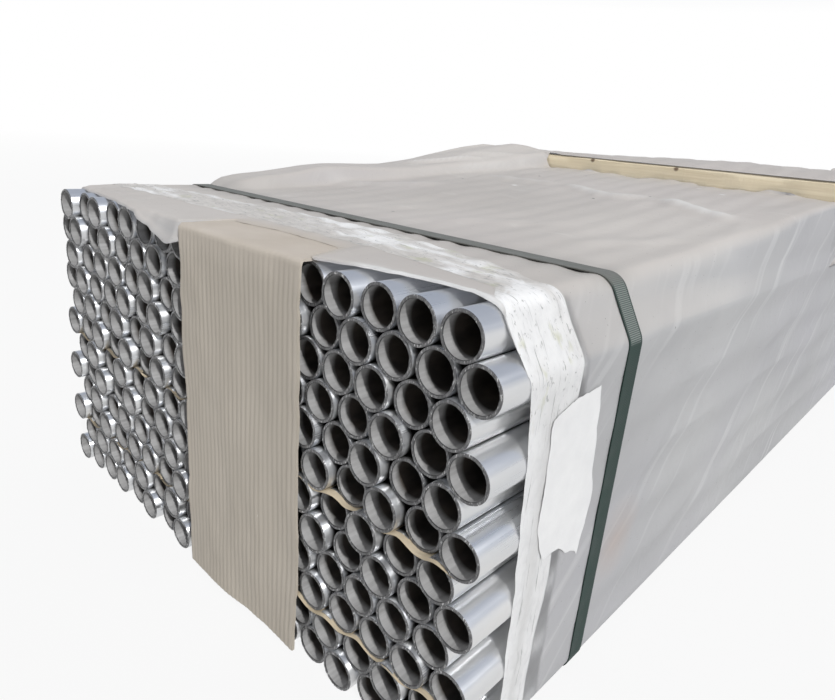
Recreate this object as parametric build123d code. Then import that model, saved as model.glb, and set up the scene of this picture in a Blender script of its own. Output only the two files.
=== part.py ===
"""A strapped bundle of round aluminium pipes, six metres long.

Twelve rows of pipes nest into one another. Two sheets of kraft paper lie between rows, a plastic
film is wrapped round the bundle and taped at both mouths, a strip of cardboard guards the middle of
each end, five plastic straps hold everything, and two timber bearers lie across the top.

Millimetres. X runs across the bundle, Y along the pipes, Z up. The origin is on the floor under the
middle of the bundle. Rows are counted from the top, pipes in a row from the +X side.
"""
from build123d import *
import math
import os

# Pipes
pipe_diameter = 40.0
pipe_wall = 3.0
pipe_length = 6000.0
row_count = 12
wide_row_count = 18
row_neighbour_gap = 3.0
contact_gap = 0.2
end_scatter = 4.0
scatter_row_step = 12.9898
scatter_pipe_step = 78.233

# Kraft paper between rows
paper_thickness = 0.3
rows_above_papers_count = 6
rows_between_papers_count = 4

# Plastic film and the tape at its mouths
film_thickness = 0.3
film_clearance = 0.2
film_setback = 42.0
tape_width = 48.0
tape_thickness = 0.2
tape_setback = 2.0

# Cardboard guard at each end
board_thickness = 4.0
board_width = 203.0
board_centre_from_side = 314.0
board_foot_height = 6.0
board_flap = 120.0
board_fold_radius = 4.0
flute_pitch = 7.5
flute_depth = 1.0

# Straps
strap_width = 25.0
strap_thickness = 1.0
strap_count = 5
end_strap_setback = 198.0
skin_gap = 0.2

# Sheet of paper stuck to the side
label_width = 85.0
label_height = 170.0
label_thickness = 0.2
label_setback = 70.0
label_drop = 48.0

# Timber bearers across the top
bearer_width = 90.0
bearer_height = 80.0
bearer_setback = 1005.0
bearer_edge = 2.0

# Places that follow from the sizes above
rows_on_paper = (
    rows_above_papers_count,
    rows_above_papers_count + rows_between_papers_count,
)
pipe_radius = pipe_diameter / 2
pitch = pipe_diameter + row_neighbour_gap
half_length = pipe_length / 2
side_pipe_x = (wide_row_count - 1) * pitch / 2
film_inner_radius = pipe_radius + film_clearance
film_outer_radius = film_inner_radius + film_thickness
skin_inner_radius = film_outer_radius + skin_gap
strap_outer_radius = skin_inner_radius + strap_thickness
side_face_x = side_pipe_x + film_outer_radius
flap_room = board_thickness + contact_gap
board_x = side_pipe_x + pipe_radius - board_centre_from_side
board_back_y = -half_length - end_scatter - contact_gap
board_front_y = board_back_y - board_thickness + flute_depth
tape_front = -half_length + film_setback + tape_setback


def is_wide(row):
    """Even rows have one pipe more than odd rows and reach half a pitch further out."""
    return row % 2 == 0


def pipes_in(row):
    return wide_row_count if is_wide(row) else wide_row_count - 1


def centre_distance(row):
    """Distance between a pipe of this row and the two pipes that carry it."""
    if row in rows_on_paper:
        return pipe_diameter + paper_thickness + 2 * contact_gap
    return pipe_diameter + contact_gap


def row_rise(row):
    """Height of this row above the row below it."""
    return math.sqrt(centre_distance(row) ** 2 - (pitch / 2) ** 2)


def row_height(row):
    """Height of the row's axes above the floor."""
    return strap_outer_radius + sum(row_rise(lower) for lower in range(row, row_count))


def pipe_x(row, pipe):
    inset = 0 if is_wide(row) else pitch / 2
    return side_pipe_x - inset - (pipe - 1) * pitch


def pipe_shift(row, pipe):
    """Pipes are pushed in unevenly, so each one lies a little forward or back."""
    return end_scatter * math.sin(scatter_row_step * row + scatter_pipe_step * pipe)


def along_y(face, start, length):
    """Extrude a face drawn in X and Z along the pipes."""
    return Pos(0, start, 0) * extrude(Plane.XZ * face, -length)


def bundle_outline(reach):
    """Convex outline round the outer pipes, with room for the end boards' flaps over the top row."""
    bottom = row_height(row_count)
    shoulder = row_height(2)
    top = row_height(1) + flap_room
    top_pipe_x = pipe_x(1, 1)
    axes = [
        (side_pipe_x, bottom),
        (side_pipe_x, shoulder),
        (top_pipe_x, top),
        (-top_pipe_x, top),
        (-side_pipe_x, shoulder),
        (-side_pipe_x, bottom),
    ]
    return offset(make_face(Polyline(*axes, close=True)), reach)


def sleeve(inner_reach, outer_reach, start, length):
    """A closed band round the bundle."""
    return along_y(bundle_outline(outer_reach) - bundle_outline(inner_reach), start, length)


def shown_pipes(row):
    """Pipes that the end boards do not hide completely."""
    cover = board_width / 2 - pipe_radius
    pipes = range(1, pipes_in(row) + 1)
    return [pipe for pipe in pipes if abs(pipe_x(row, pipe) - board_x) > cover]


def pipe_row(row):
    section = Circle(pipe_radius) - Circle(pipe_radius - pipe_wall)
    pipe_solid = along_y(section, -half_length, pipe_length)
    return Compound(
        [
            Pos(pipe_x(row, pipe), pipe_shift(row, pipe), row_height(row)) * pipe_solid
            for pipe in shown_pipes(row)
        ]
    )


def hidden_core():
    """Plain blocks for the pipes that the end boards hide, one in each layer between the papers."""
    axes = [pipe_x(row, pipe) for row in (1, 2) for pipe in shown_pipes(row)]
    right = min(x for x in axes if x > board_x) - pipe_radius - contact_gap
    left = max(x for x in axes if x < board_x) + pipe_radius + contact_gap
    paper_room = pipe_radius + paper_thickness + 2 * contact_gap
    layer_tops = [1] + [row + 1 for row in rows_on_paper]
    layer_bottoms = list(rows_on_paper) + [row_count]
    blocks = []
    for top_row, bottom_row in zip(layer_tops, layer_bottoms):
        top = row_height(top_row) + pipe_radius
        if top_row > 1:
            top = row_height(top_row - 1) - paper_room
        bottom = row_height(bottom_row) - pipe_radius
        if bottom_row < row_count:
            bottom = row_height(bottom_row + 1) + paper_room
        face = Pos((left + right) / 2, (top + bottom) / 2) * Rectangle(right - left, top - bottom)
        blocks.append(along_y(face, -half_length, pipe_length))
    return Compound(blocks)


def paper_side(row, shift):
    """One side of the paper: arcs that pass under this row's pipes and over the pipes below."""
    reach = centre_distance(row) / 2
    contact = math.degrees(math.atan2(row_rise(row), pitch / 2))
    wrap = 180 - 2 * contact
    last = pipes_in(row)
    arcs = []
    for pipe in range(1, last + 1):
        start = 270 if pipe == last else 180 + contact
        sweep = wrap if 1 < pipe < last else wrap / 2
        centre = (pipe_x(row, pipe), row_height(row))
        arcs.append(CenterArc(centre, reach - shift, start, sweep))
    for pipe in range(1, pipes_in(row + 1) + 1):
        centre = (pipe_x(row + 1, pipe), row_height(row + 1))
        arcs.append(CenterArc(centre, reach + shift, contact, wrap))
    return arcs


def interleaf_paper(row):
    """A sheet that waves between this row and the next, ending under this row's outer pipes."""
    half = paper_thickness / 2
    trough = row_height(row) - centre_distance(row) / 2
    ends = [
        Line((x, trough - half), (x, trough + half))
        for x in (pipe_x(row, 1), pipe_x(row, pipes_in(row)))
    ]
    outline = Wire.combine(paper_side(row, half) + paper_side(row, -half) + ends)[0]
    return along_y(make_face(outline), -half_length, pipe_length)


def board_flutes(height):
    """Upright ribs of the corrugated board's outer paper, rooted in the strip behind them."""
    count = int(board_width // flute_pitch)
    left = board_x - count * flute_pitch / 2
    right = left + count * flute_pitch
    valley = board_front_y - flute_depth / 4
    crest = board_front_y - flute_depth
    root = (board_front_y + board_back_y) / 2
    ribs = [
        ThreePointArc(
            (left + index * flute_pitch, valley),
            (left + (index + 0.5) * flute_pitch, crest),
            (left + (index + 1) * flute_pitch, valley),
        )
        for index in range(count)
    ]
    backing = Polyline((left, valley), (left, root), (right, root), (right, valley))
    section = Pos(0, 0, board_foot_height) * make_face(ribs + backing.edges())
    return extrude(section, height, dir=(0, 0, 1))


def end_board():
    """A cardboard strip that stands against the pipes' near ends and folds in over the top row."""
    flap_under = row_height(1) + pipe_radius + contact_gap
    flap_top = flap_under + board_thickness
    flap_end = -half_length + board_flap
    side_view = make_face(
        Polyline(
            (board_front_y, board_foot_height),
            (board_front_y, flap_top),
            (flap_end, flap_top),
            (flap_end, flap_under),
            (board_back_y, flap_under),
            (board_back_y, board_foot_height),
            close=True,
        )
    )
    fold = side_view.vertices().sort_by_distance((board_front_y, flap_top))[0]
    side_view = fillet(fold, board_fold_radius)
    strip = Pos(board_x - board_width / 2, 0, 0) * extrude(Plane.YZ * side_view, board_width)
    return strip + board_flutes(flap_top - board_fold_radius - board_foot_height)


def tape_band():
    """Tape round the film just behind its near mouth."""
    return sleeve(skin_inner_radius, skin_inner_radius + tape_thickness, tape_front, tape_width)


def strap(index):
    first = -half_length + end_strap_setback
    step = 2 * -first / (strap_count - 1)
    middle = first + index * step
    return sleeve(skin_inner_radius, strap_outer_radius, middle - strap_width / 2, strap_width)


def label_sheet():
    """A bare sheet of paper stuck to the +X side, half over the tape."""
    middle = (
        side_face_x + skin_gap + tape_thickness + contact_gap + label_thickness / 2,
        -half_length + label_setback + label_width / 2,
        row_height(1) - label_drop - label_height / 2,
    )
    return Pos(*middle) * Box(label_thickness, label_width, label_height)


def top_bearer():
    """A sawn timber laid across the film near the near end."""
    seat = row_height(1) + flap_room + film_outer_radius + skin_gap
    length = 2 * side_face_x
    timber = Box(length, bearer_width, bearer_height)
    timber = chamfer(timber.edges().filter_by(Axis.X), bearer_edge)
    return Pos(0, -half_length + bearer_setback, seat + bearer_height / 2) * timber


def both_ends(name, shape):
    """The same piece at the near end and, mirrored, at the far end."""
    return {name + "_near": shape, name + "_far": mirror(shape, about=Plane.XZ)}


def bundle():
    pieces = {f"pipe_row_{row:02d}": pipe_row(row) for row in range(1, row_count + 1)}
    pieces["hidden_pipe_core"] = hidden_core()
    for row in rows_on_paper:
        pieces[f"interleaf_paper_{row:02d}"] = interleaf_paper(row)
    film_length = pipe_length - 2 * film_setback
    pieces["wrap_film"] = sleeve(
        film_inner_radius, film_outer_radius, -film_length / 2, film_length
    )
    pieces |= both_ends("tape_band", tape_band())
    pieces |= both_ends("end_board", end_board())
    pieces |= both_ends("top_bearer", top_bearer())
    for index in range(strap_count):
        pieces[f"strap_{index + 1}"] = strap(index)
    pieces["label_sheet"] = label_sheet()
    return pieces


os.makedirs("parts", exist_ok=True)
for node, shape in bundle().items():
    export_step(shape, f"parts/{node}.step")
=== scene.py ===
"""Looks of a strapped bundle of round aluminium pipes.

Metres, in the part's own frame: X runs across the bundle, Y along the pipes with the photographed end
at -Y, Z up, and the origin is on the floor under the middle. Rows are counted from the top, pipes in a
row from the +X side.
"""
import math

import bpy
import numpy as np
from mathutils import Matrix, Vector


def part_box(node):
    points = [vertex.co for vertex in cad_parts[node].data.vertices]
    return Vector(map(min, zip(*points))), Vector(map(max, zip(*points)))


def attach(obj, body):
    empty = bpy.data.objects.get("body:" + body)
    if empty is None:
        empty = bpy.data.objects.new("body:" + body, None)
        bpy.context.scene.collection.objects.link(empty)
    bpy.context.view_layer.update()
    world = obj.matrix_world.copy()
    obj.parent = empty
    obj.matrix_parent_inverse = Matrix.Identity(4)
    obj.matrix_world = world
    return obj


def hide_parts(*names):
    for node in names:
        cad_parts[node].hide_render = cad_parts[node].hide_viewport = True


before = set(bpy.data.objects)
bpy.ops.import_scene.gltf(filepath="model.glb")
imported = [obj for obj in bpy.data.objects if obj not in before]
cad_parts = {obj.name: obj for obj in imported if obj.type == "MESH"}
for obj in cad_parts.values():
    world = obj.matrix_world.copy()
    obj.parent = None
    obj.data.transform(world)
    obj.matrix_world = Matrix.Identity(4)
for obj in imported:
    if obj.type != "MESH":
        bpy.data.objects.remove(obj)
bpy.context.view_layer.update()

# Pipes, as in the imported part
row_count = 12
pipe_wall = 0.003
pipe_length = 6.0
end_scatter = 0.004
scatter_row_step = 12.9898
scatter_pipe_step = 78.233

# Finish of the pipes
pipe_segments = 64
hidden_segments = 24
rim_bevel = 0.0006
rim_roughness = 0.00022
burr_height = 0.0007
saw_tilt = 0.006
open_slope = (-0.75, -0.25)
# Depths in from the ends over which painted shade darkens the bores
bore_shade_start = 0.0075
bore_shade_end = 0.0135
# Depths in from the ends over which painted shade darkens the outsides that face other pipes
gap_shade_start = 0.002
gap_shade_end = 0.009

# Rows and columns of the film's mesh
film_lip_row_step = 0.003
film_lip_length = 0.024
film_mouth_row_step = 0.006
film_tent_row_step = 0.012
film_behind_row_step = 0.021
film_middle_row_step = 0.07
film_column_step = 0.0052
film_bottom_columns = 20
film_corner_columns = 7
film_bend_columns = 5
film_shoulder_columns = 9

# The film's mouths
mouth_blend = 0.15
mouth_raggedness = 0.0016
hem_drop = 0.0025
hem_forward = 0.0008
hem_width = 0.009
hem_span = (0.19, 0.24)
lip_droop_length = 0.012
lip_settle = 0.06
see_through_reach = 0.045
film_see_through = 0.24
tape_see_through = 0.29
thick_tape_see_through = 0.10
under_tape_see_through = 0.70
under_tape_reach = 0.11

# The film's tent over the bearers, torn open along the near one
film_over_bearer = 0.004
film_corner_over_bearer = 0.006
tear_left_end = -0.20
tear_blend = 0.035
tear_edge_height = 0.052
tear_curve = 0.9
tear_row_offset = 0.0015
tear_raggedness = 0.010
tear_gap = 0.0012
tear_end_blend = 0.03
hump_rise = 0.011
hump_x = -0.29
hump_left_width = 0.06
hump_right_width = 0.027
hump_start = 0.6
hump_fade = 0.05
bulge_behind_bearer = 0.014
bulge_reach = 0.05
bulge_half_width = 0.2
tent_level_reach = 0.10
tent_foot = 0.03

# Folds, dips and waves of the film
film_off_pipes = 0.0003
top_slope = (0.3, 0.95)
taut_start = 0.23
taut_end = 0.17
strap_dip = 0.0034
strap_dip_reach = 0.045
strap_dust_reach = 0.035
loose_reach = 0.12
valley_sag = 0.0012
flap_clearance = 0.0004
top_wave_height = 0.0028
top_wrinkle_height = 0.0010
side_wave_height = 0.0018
side_sag = 0.0024
fold_fade = 0.3
fold_gentle_side = 1.6
fold_steep_side = 0.7
crease_height = 0.0080

# Tape at the film's mouth: spans lie along X, heights along Z, and strips are shares of its width
tape_rows = 18
tape_lift = 0.0005
tape_edge_lift = 0.00015
tape_wrinkle = 0.0012
tape_crumple_span = (0.02, 0.24)
tape_stain_heights = (0.30, 0.36)
tape_seam_heights = (0.30, 0.38)
tape_seam_place = 0.42
tape_seam_width = 0.16
white_strip_span = (-0.04, 0.10)
white_strip_place = 0.62
white_strip_width = 0.20

# Straps
strap_count = 5
strap_rib_pitch = 0.0018
strap_rib_height = 0.00016
strap_samples_per_rib = 2
strap_edge = 0.06
strap_dust_slope = (0.35, 0.95)
# Upward slopes of the strap's outside where its ribs get a painted highlight
strap_highlight_slope = (0.05, 0.35)

# Cardboard at the ends
board_thickness = 0.0030
flute_pitch = 0.0075
flute_depth = 0.0006
flute_samples = 6
board_row_step = 0.007
board_fold_radius = 0.001
board_fold_columns = 7
board_bow = 0.0016
board_sway = 0.0012
board_fold_fade = 0.016
board_ragged_edge = 0.0015
board_rubbed_reach = 0.032

# Kraft paper between rows
paper_rows = (6, 10)
paper_reach = 0.0006
paper_overhang = 0.0032
paper_recess = 0.010
paper_droop = 0.0010
paper_lip_rows = 6
paper_samples_per_pitch = 14

# Sheet of paper stuck to the side
label_lift = 0.0005
label_over_tape = 0.0006
label_step_span = (0.75, 0.35)
label_columns = 26
label_rows = 48
label_torn_edge = 0.0022
label_curl = 0.0015
label_curl_span = (1.75, 2.0)
label_press_margin = 0.03

# Timber bearers
bearer_step = 0.016
bearer_side_points = 6
bearer_edge = 0.003
bearer_unevenness = 0.0008

# Camera, as in the photograph
camera_lens_mm = 27.838
camera_sensor_mm = 36.0
camera_clip_start = 0.01
camera_place = Vector((0.6034, -3.3409, 0.5293))
camera_forward = Vector((-0.62423, 0.71179, -0.32201))
camera_up = Vector((-0.27452, 0.18604, 0.94341))

# Light
key_direction = Vector((-0.733, 0.290, -0.615))
key_strength = 2.3
key_spread = math.radians(2)
sky_start = 0.17
sky_end = 0.45
sky_low = (0.24, 0.243, 0.25)
sky_high = (0.58, 0.585, 0.60)
seen_low = (1.0, 1.0, 1.0)
seen_high = (0.40, 0.45, 0.56)
floor_half_size = 60.0
floor_tone = (0.52, 0.52, 0.52)
floor_glow_share = 0.89
floor_shadow_reach = (4.0, 12.0)

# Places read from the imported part
row_boxes = {row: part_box(f"pipe_row_{row:02d}") for row in range(1, row_count + 1)}
strap_boxes = {number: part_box(f"strap_{number}") for number in range(1, strap_count + 1)}
film_low, film_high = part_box("wrap_film")
bearer_low, bearer_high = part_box("top_bearer_near")
board_low, board_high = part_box("end_board_near")
label_low, label_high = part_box("label_sheet")
pipe_radius = (row_boxes[2][1].z - row_boxes[2][0].z) / 2
bore_radius = pipe_radius - pipe_wall
side_pipe_x = row_boxes[2][1].x - pipe_radius
pitch = 2 * (row_boxes[2][1].x - row_boxes[1][1].x)
half_length = pipe_length / 2
film_radius = film_high.x - side_pipe_x
film_top = film_high.z
top_pipe_x = side_pipe_x - pitch / 2
strap_places = [(low.y + high.y) / 2 for low, high in strap_boxes.values()]

# Marks on the film's top, as X and Y, on its side, and on the bearer's upper edge
streak_angle = math.radians(-41)
speck_radius = 0.0022
dark_specks = (
    (-0.185, -2.354), (-0.116, -2.198), (-0.051, -2.130), (0.095, -2.365),
    (0.127, -2.312), (0.148, -2.272), (-0.024, -2.700),
)
# Painted glints: small white spots on the film's top
glint_specks = ((0.168, -2.115), (0.221, -2.148), (-0.076, -2.340))
stain_place = (side_pipe_x + film_radius, -2.749, 0.140)
stain_radius = 0.004
stain_blur = 0.05
knot_radius = 0.003
knots_on_edge = (
    (-0.09, bearer_low.y, bearer_high.z - 0.003),
    (0.09, bearer_low.y, bearer_high.z - 0.004),
)


def row_height(row):
    low, high = row_boxes[row]
    return (low.z + high.z) / 2


def pipes_in(row):
    return round(2 * (row_boxes[row][1].x - pipe_radius) / pitch) + 1


def pipe_x(row, pipe):
    return row_boxes[row][1].x - pipe_radius - (pipe - 1) * pitch


def pipe_shift(row, pipe):
    return end_scatter * math.sin(scatter_row_step * row + scatter_pipe_step * pipe)


# Numbers that look random but come out the same each time

def hash_unit(a, b=0.0, c=0.0):
    """A number from 0 to 1 for each whole-number place."""
    return np.sin(a * 12.9898 + b * 78.233 + c * 37.719 + 4.1) * 43758.5453 % 1.0


def ease(t):
    t = np.clip(t, 0, 1)
    return t * t * (3 - 2 * t)


def noise(x, y, seed=0.0):
    """Smooth bumps from -1 to 1, about one for each unit of x and y, which callers scale from metres."""
    x, y = np.broadcast_arrays(np.asarray(x, float), np.asarray(y, float))
    x0, y0 = np.floor(x), np.floor(y)
    fx, fy = ease(x - x0), ease(y - y0)
    low = hash_unit(x0, y0, seed) * (1 - fx) + hash_unit(x0 + 1, y0, seed) * fx
    high = hash_unit(x0, y0 + 1, seed) * (1 - fx) + hash_unit(x0 + 1, y0 + 1, seed) * fx
    return 2 * (low * (1 - fy) + high * fy) - 1


def layered_noise(x, y, seed=0.0, layers=3):
    return sum(noise(x * 2 ** n, y * 2 ** n, seed + n) / 2 ** n for n in range(layers))


# Going over from one value to another

def step_between(value, start, end):
    """0 before start, 1 after end and smooth between them."""
    return ease((value - start) / (end - start))


def between(a, b, share):
    """a where the share is 0 and b where it is 1."""
    return a + (b - a) * share


def bell(value, middle, width):
    """1 at the middle, falling off to both sides."""
    return np.exp(-((value - middle) / width) ** 2)


def read_table(places, table):
    """Values at places between the entries of a table of (place, value)."""
    return np.interp(places, *zip(*table))


# Meshes

def join(*coordinates):
    """Points or quads from arrays that each hold one coordinate or one corner."""
    return np.stack(np.broadcast_arrays(*coordinates), axis=-1)


def grid_faces(rows, columns, round_rows=False, round_columns=False):
    """Quads between neighbouring points of a grid, as an array of (row, column, corner)."""
    index = np.arange(rows * columns).reshape(rows, columns)
    if round_rows:
        index = np.concatenate([index, index[:1]], axis=0)
    if round_columns:
        index = np.concatenate([index, index[:, :1]], axis=1)
    return join(index[:-1, :-1], index[:-1, 1:], index[1:, 1:], index[1:, :-1])


def make_piece(name, vertices, quads, materials, node, face_materials=None, sharp=180, caps=()):
    """A piece that stands for a node; its edges stay crisp where they bend by more than sharp degrees."""
    mesh = bpy.data.meshes.new(name)
    faces = np.reshape(quads, (-1, 4)).tolist() + list(caps)
    mesh.from_pydata(np.reshape(vertices, (-1, 3)).tolist(), [], faces)
    for material in materials:
        mesh.materials.append(material)
    if face_materials is not None:
        mesh.polygons.foreach_set("material_index", np.asarray(face_materials, np.int32))
    mesh.polygons.foreach_set("use_smooth", np.ones(len(mesh.polygons), bool))
    mesh.set_sharp_from_angle(angle=math.radians(sharp))
    mesh.update()
    piece = bpy.data.objects.new(name, mesh)
    bpy.context.scene.collection.objects.link(piece)
    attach(piece, "root")
    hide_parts(node)
    return piece


def add_point_values(piece, **named_values):
    """Values for each point that a material can read by name."""
    for name, values in named_values.items():
        attribute = piece.data.attributes.new(name, "FLOAT", "POINT")
        attribute.data.foreach_set("value", np.asarray(values, np.float32).ravel())


# Materials

class Nodes:
    """A node tree whose nodes are added by short calls. Sockets given as inputs are linked."""

    def __init__(self, owner):
        owner.use_nodes = True
        self.tree = owner.node_tree

    def add(self, kind, inputs=None, **settings):
        node = self.tree.nodes.new(kind)
        for setting, value in settings.items():
            setattr(node, setting, value)
        for socket, value in (inputs or {}).items():
            self.feed(node.inputs[socket], value)
        return node

    def feed(self, socket, value):
        if isinstance(value, bpy.types.NodeSocket):
            self.tree.links.new(value, socket)
        elif socket.type == "RGBA":
            socket.default_value = (*value, 1)
        else:
            socket.default_value = value

    def ramp(self, value, low, high, to_low=0.0, to_high=1.0):
        inputs = {"Value": value, "From Min": low, "From Max": high, "To Min": to_low, "To Max": to_high}
        return self.add("ShaderNodeMapRange", inputs).outputs[0]

    def math(self, operation, a, b=0.0):
        return self.add("ShaderNodeMath", {0: a, 1: b}, operation=operation).outputs[0]

    def mix(self, share, a, b):
        return self.add("ShaderNodeMix", {"Factor": share, 6: a, 7: b}, data_type="RGBA").outputs[2]

    def blend(self, value, low, high, a, b, most=1.0):
        """Colour a where the value is low, and at most this share of b where it is high."""
        return self.mix(self.ramp(value, low, high, 0.0, most), a, b)

    def axes(self, vector):
        return self.add("ShaderNodeSeparateXYZ", {0: vector}).outputs

    def seen(self):
        """1 for rays that show in the picture, also off and through things, 0 for rays that only light."""
        rays = self.add("ShaderNodeLightPath").outputs
        straight_or_shiny = self.math("MAXIMUM", rays["Is Camera Ray"], rays["Is Glossy Ray"])
        return self.math("MAXIMUM", straight_or_shiny, rays["Is Transmission Ray"])


class Shader(Nodes):
    """A material with a Principled surface, whose constants are named with _ for a space."""

    def __init__(self, name, **constants):
        self.material = bpy.data.materials.new(name)
        super().__init__(self.material)
        self.surface = self.tree.nodes["Principled BSDF"]
        for socket, value in constants.items():
            self.set(socket.replace("_", " "), value)
        self.place = self.add("ShaderNodeTexCoord").outputs["Object"]

    def set(self, socket, value):
        self.feed(self.surface.inputs[socket], value)

    def noise(self, scale, detail, roughness=0.55, distortion=0.0, place=None):
        """Clouds from 0 to 1, about scale of them to a metre of each axis."""
        stretched = self.add("ShaderNodeMapping", {"Vector": place or self.place, "Scale": scale})
        inputs = {"Vector": stretched.outputs[0], "Scale": 1.0, "Detail": detail}
        inputs |= {"Roughness": roughness, "Distortion": distortion}
        return self.add("ShaderNodeTexNoise", inputs).outputs["Fac"]

    def bump(self, height, distance, strength):
        inputs = {"Height": height, "Distance": distance, "Strength": strength}
        self.set("Normal", self.add("ShaderNodeBump", inputs).outputs[0])

    def value(self, name):
        return self.add("ShaderNodeAttribute", attribute_name=name).outputs["Fac"]

    def distance(self, a, b):
        return self.add("ShaderNodeVectorMath", {0: a, 1: b}, operation="DISTANCE").outputs["Value"]

    def near(self, point, reach, blur):
        """1 closer to a point than reach, falling to 0 over the blur."""
        return self.ramp(self.distance(self.place, point), reach + blur, reach)

    def near_any(self, places, reach):
        """1 close to any of some places in X and Y, whatever their height."""
        inputs = {0: self.place, 1: (1, 1, 0)}
        level = self.add("ShaderNodeVectorMath", inputs, operation="MULTIPLY").outputs[0]
        closest = 1.0
        for x, y in places:
            closest = self.math("MINIMUM", closest, self.distance(level, (x, y, 0)))
        return self.ramp(closest, 1.5 * reach, 0.5 * reach)

    def mix_in(self, share, kind, inputs):
        """Gives a share of the surface over to another kind of shader."""
        other = self.add(kind, inputs).outputs[0]
        both = self.add("ShaderNodeMixShader", {0: share, 1: self.surface.outputs[0], 2: other})
        self.feed(self.tree.nodes["Material Output"].inputs["Surface"], both.outputs[0])

    def let_through(self, share, tone):
        """Lets a share of the light from behind come through the surface."""
        self.mix_in(share, "ShaderNodeBsdfTranslucent", {"Color": tone})

    def island(self):
        return self.add("ShaderNodeNewGeometry").outputs["Random Per Island"]

    def turned(self, angle):
        """Place turned about X, so that Y runs along a slanting line on an upright side."""
        inputs = {"Vector": self.place, "Angle": angle}
        return self.add("ShaderNodeVectorRotate", inputs, rotation_type="X_AXIS").outputs[0]

    def upward(self, low, high):
        """0 on upright faces and 1 on level ones."""
        normal = self.add("ShaderNodeNewGeometry").outputs["Normal"]
        return self.ramp(self.axes(normal)[2], low, high)

    def depth(self):
        """Distance in from the nearer end of the bundle."""
        from_middle = self.math("ABSOLUTE", self.axes(self.place)[1])
        return self.math("SUBTRACT", half_length, from_middle)


def outside_material():
    """Drawn aluminium with fine lines along the pipe, dull marks, and painted shade on the outsides
    between the pipes.
    """
    shader = Shader("aluminium_outside", Metallic=0.85)
    lines = shader.noise((900, 2, 900), 2.0)
    clouds = shader.noise((30, 6, 30), 5.0)
    line_share = shader.ramp(lines, 0.3, 0.8, 0.24, 0.32)
    shader.set("Roughness", shader.math("ADD", shader.ramp(clouds, 0.3, 0.75, 0.0, 0.08), line_share))
    tone = shader.blend(clouds, 0.35, 0.7, (0.625, 0.638, 0.655), (0.735, 0.73, 0.72))
    duller = shader.ramp(shader.island(), 0, 1, 0, 0.25)
    tone = shader.mix(duller, tone, (0.61, 0.615, 0.625))
    # Painted shade: outsides that face other pipes turn near-black a little way in from the ends
    gap_shade = shader.ramp(shader.depth(), gap_shade_start, gap_shade_end)
    gap_shade = shader.math("MULTIPLY", gap_shade, shader.value("enclosed"))
    shader.set("Base Color", shader.mix(gap_shade, tone, (0.035, 0.032, 0.028)))
    shader.bump(lines, 0.00006, 0.5)
    return shader.material


def bore_material():
    """The inside of the pipe: dull and streaky near the mouth, darkened further in by painted shade."""
    shader = Shader("aluminium_bore", Metallic=0.1, Roughness=0.6)
    streaks = shader.noise((260, 5, 260), 4.0)
    grime = shader.noise((60, 25, 60), 4.0)
    tone = shader.blend(streaks, 0.3, 0.7, (0.32, 0.316, 0.312), (0.43, 0.426, 0.422))
    # Painted shade: a cloudy near-black tone takes over from the metal deeper in the bore
    bore_shade_tone = shader.blend(grime, 0.4, 0.7, (0.027, 0.023, 0.020), (0.075, 0.061, 0.049))
    shader.set("Base Color", shader.mix(shader.ramp(shader.depth(), bore_shade_start, bore_shade_end), tone, bore_shade_tone))
    shader.bump(streaks, 0.0003, 0.4)
    return shader.material


def rim_material():
    """The sawn end of the wall: dull metal with bright flecks and a dark, notched inner edge."""
    shader = Shader("aluminium_rim", Metallic=0.55)
    marks = shader.noise((900, 200, 260), 3.0)
    grime = shader.noise((170, 170, 170), 3.0)
    tone = shader.blend(marks, 0.3, 0.7, (0.085, 0.085, 0.09), (0.23, 0.23, 0.23))
    tone = shader.blend(marks, 0.60, 0.68, tone, (0.78, 0.78, 0.77), 0.85)
    tone = shader.blend(grime, 0.50, 0.64, tone, (0.07, 0.07, 0.07), 0.6)
    notched = shader.math("MULTIPLY", shader.value("inner_edge"), shader.ramp(marks, 0.35, 0.6, 0.55, 1.0))
    shader.set("Base Color", shader.mix(notched, tone, (0.035, 0.035, 0.035)))
    shader.set("Roughness", shader.ramp(marks, 0.3, 0.7, 0.5, 0.36))
    shader.bump(marks, 0.0002, 0.5)
    return shader.material


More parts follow.
